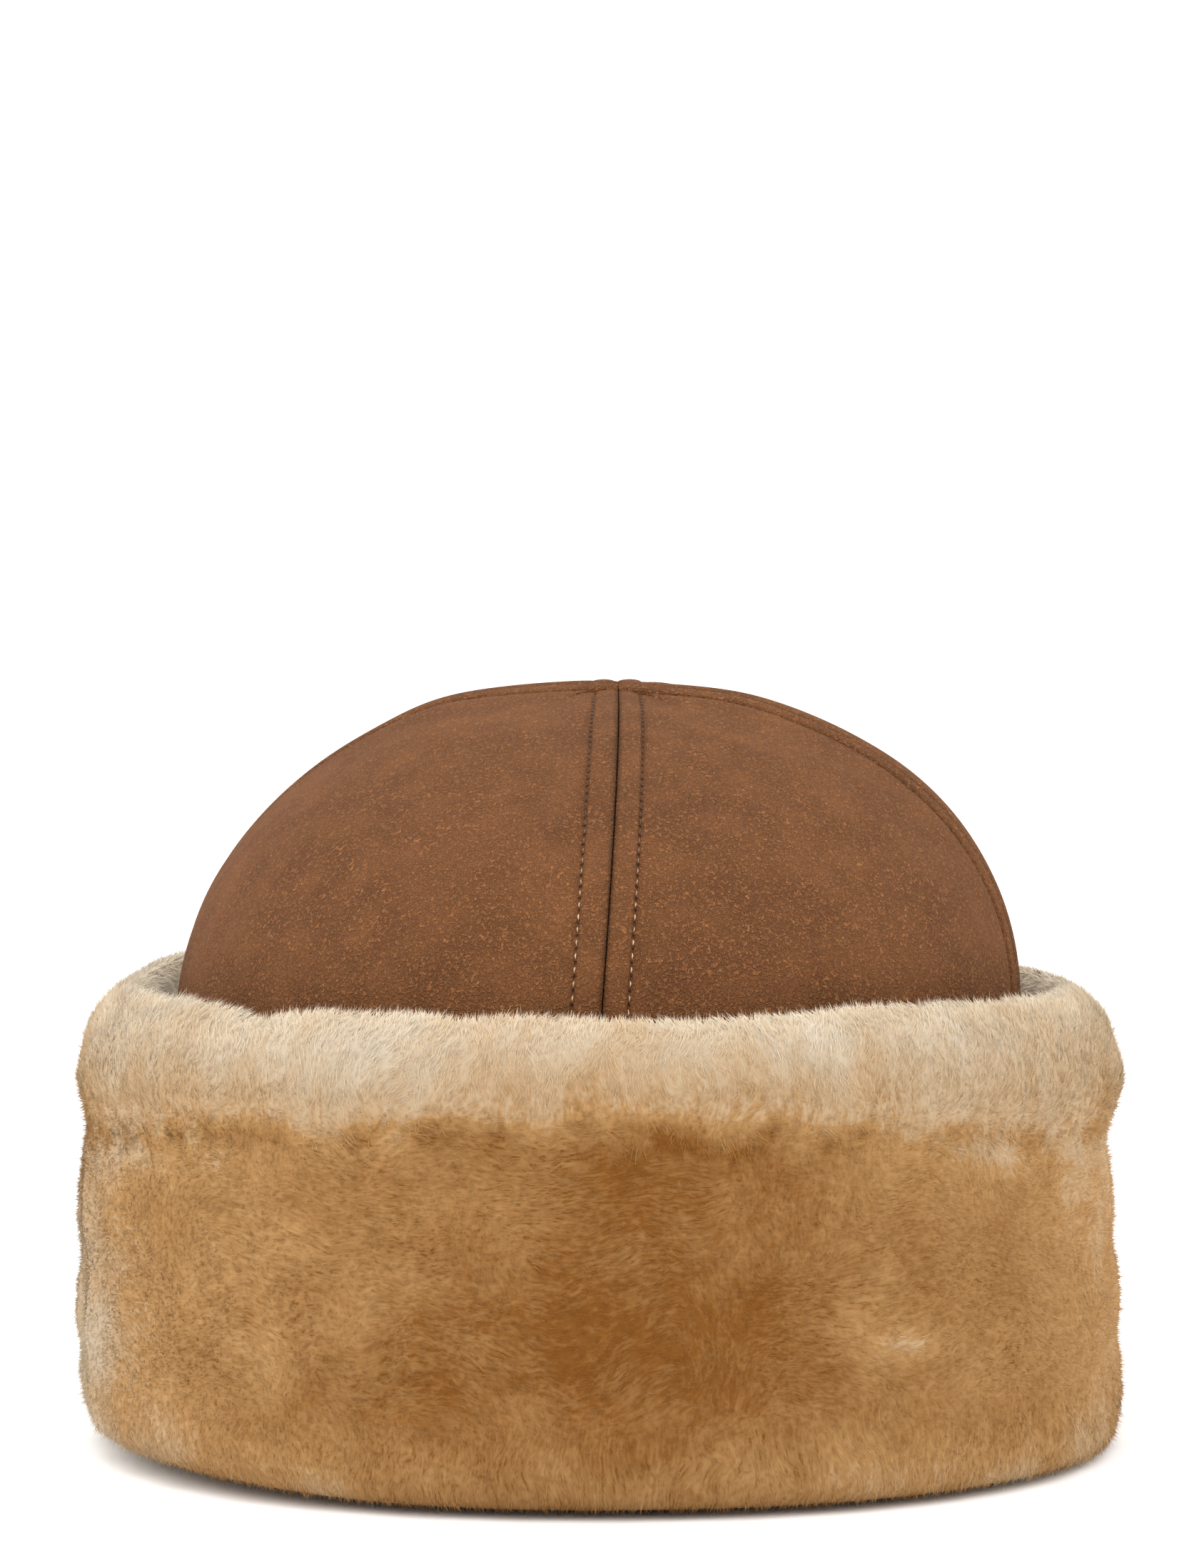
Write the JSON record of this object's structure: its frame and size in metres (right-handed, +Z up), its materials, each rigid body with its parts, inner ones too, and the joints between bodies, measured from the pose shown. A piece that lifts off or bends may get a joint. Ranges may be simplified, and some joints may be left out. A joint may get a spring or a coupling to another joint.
{
  "type": "shearling hat",
  "caption": "Shearling winter hat: suede dome of quarter panels with raised topstitched seams, in a deep turned-up fur cuff with a rolled top.",
  "frame": {"origin": "on the surface that the hat rests on, at the middle of its length and width", "axes": "+X to the wearer's left, which is the right of the picture, -Y to the front, +Z up through the dome"},
  "size_m": [0.2494, 0.2696, 0.179],
  "materials": {
    "suede": "matte brown suede with a fine brushed nap",
    "band_fur": "dense clipped fur, golden brown with paler tips",
    "roll_fur": "dense combed fur, cream tips over golden roots"
  },
  "bodies": {
    "root": {"crown_front_left": "suede", "crown_front_right": "suede", "crown_back_left": "suede", "crown_back_right": "suede", "cuff_band": "band_fur", "cuff_roll": "roll_fur"}
  },
  "joints": []
}
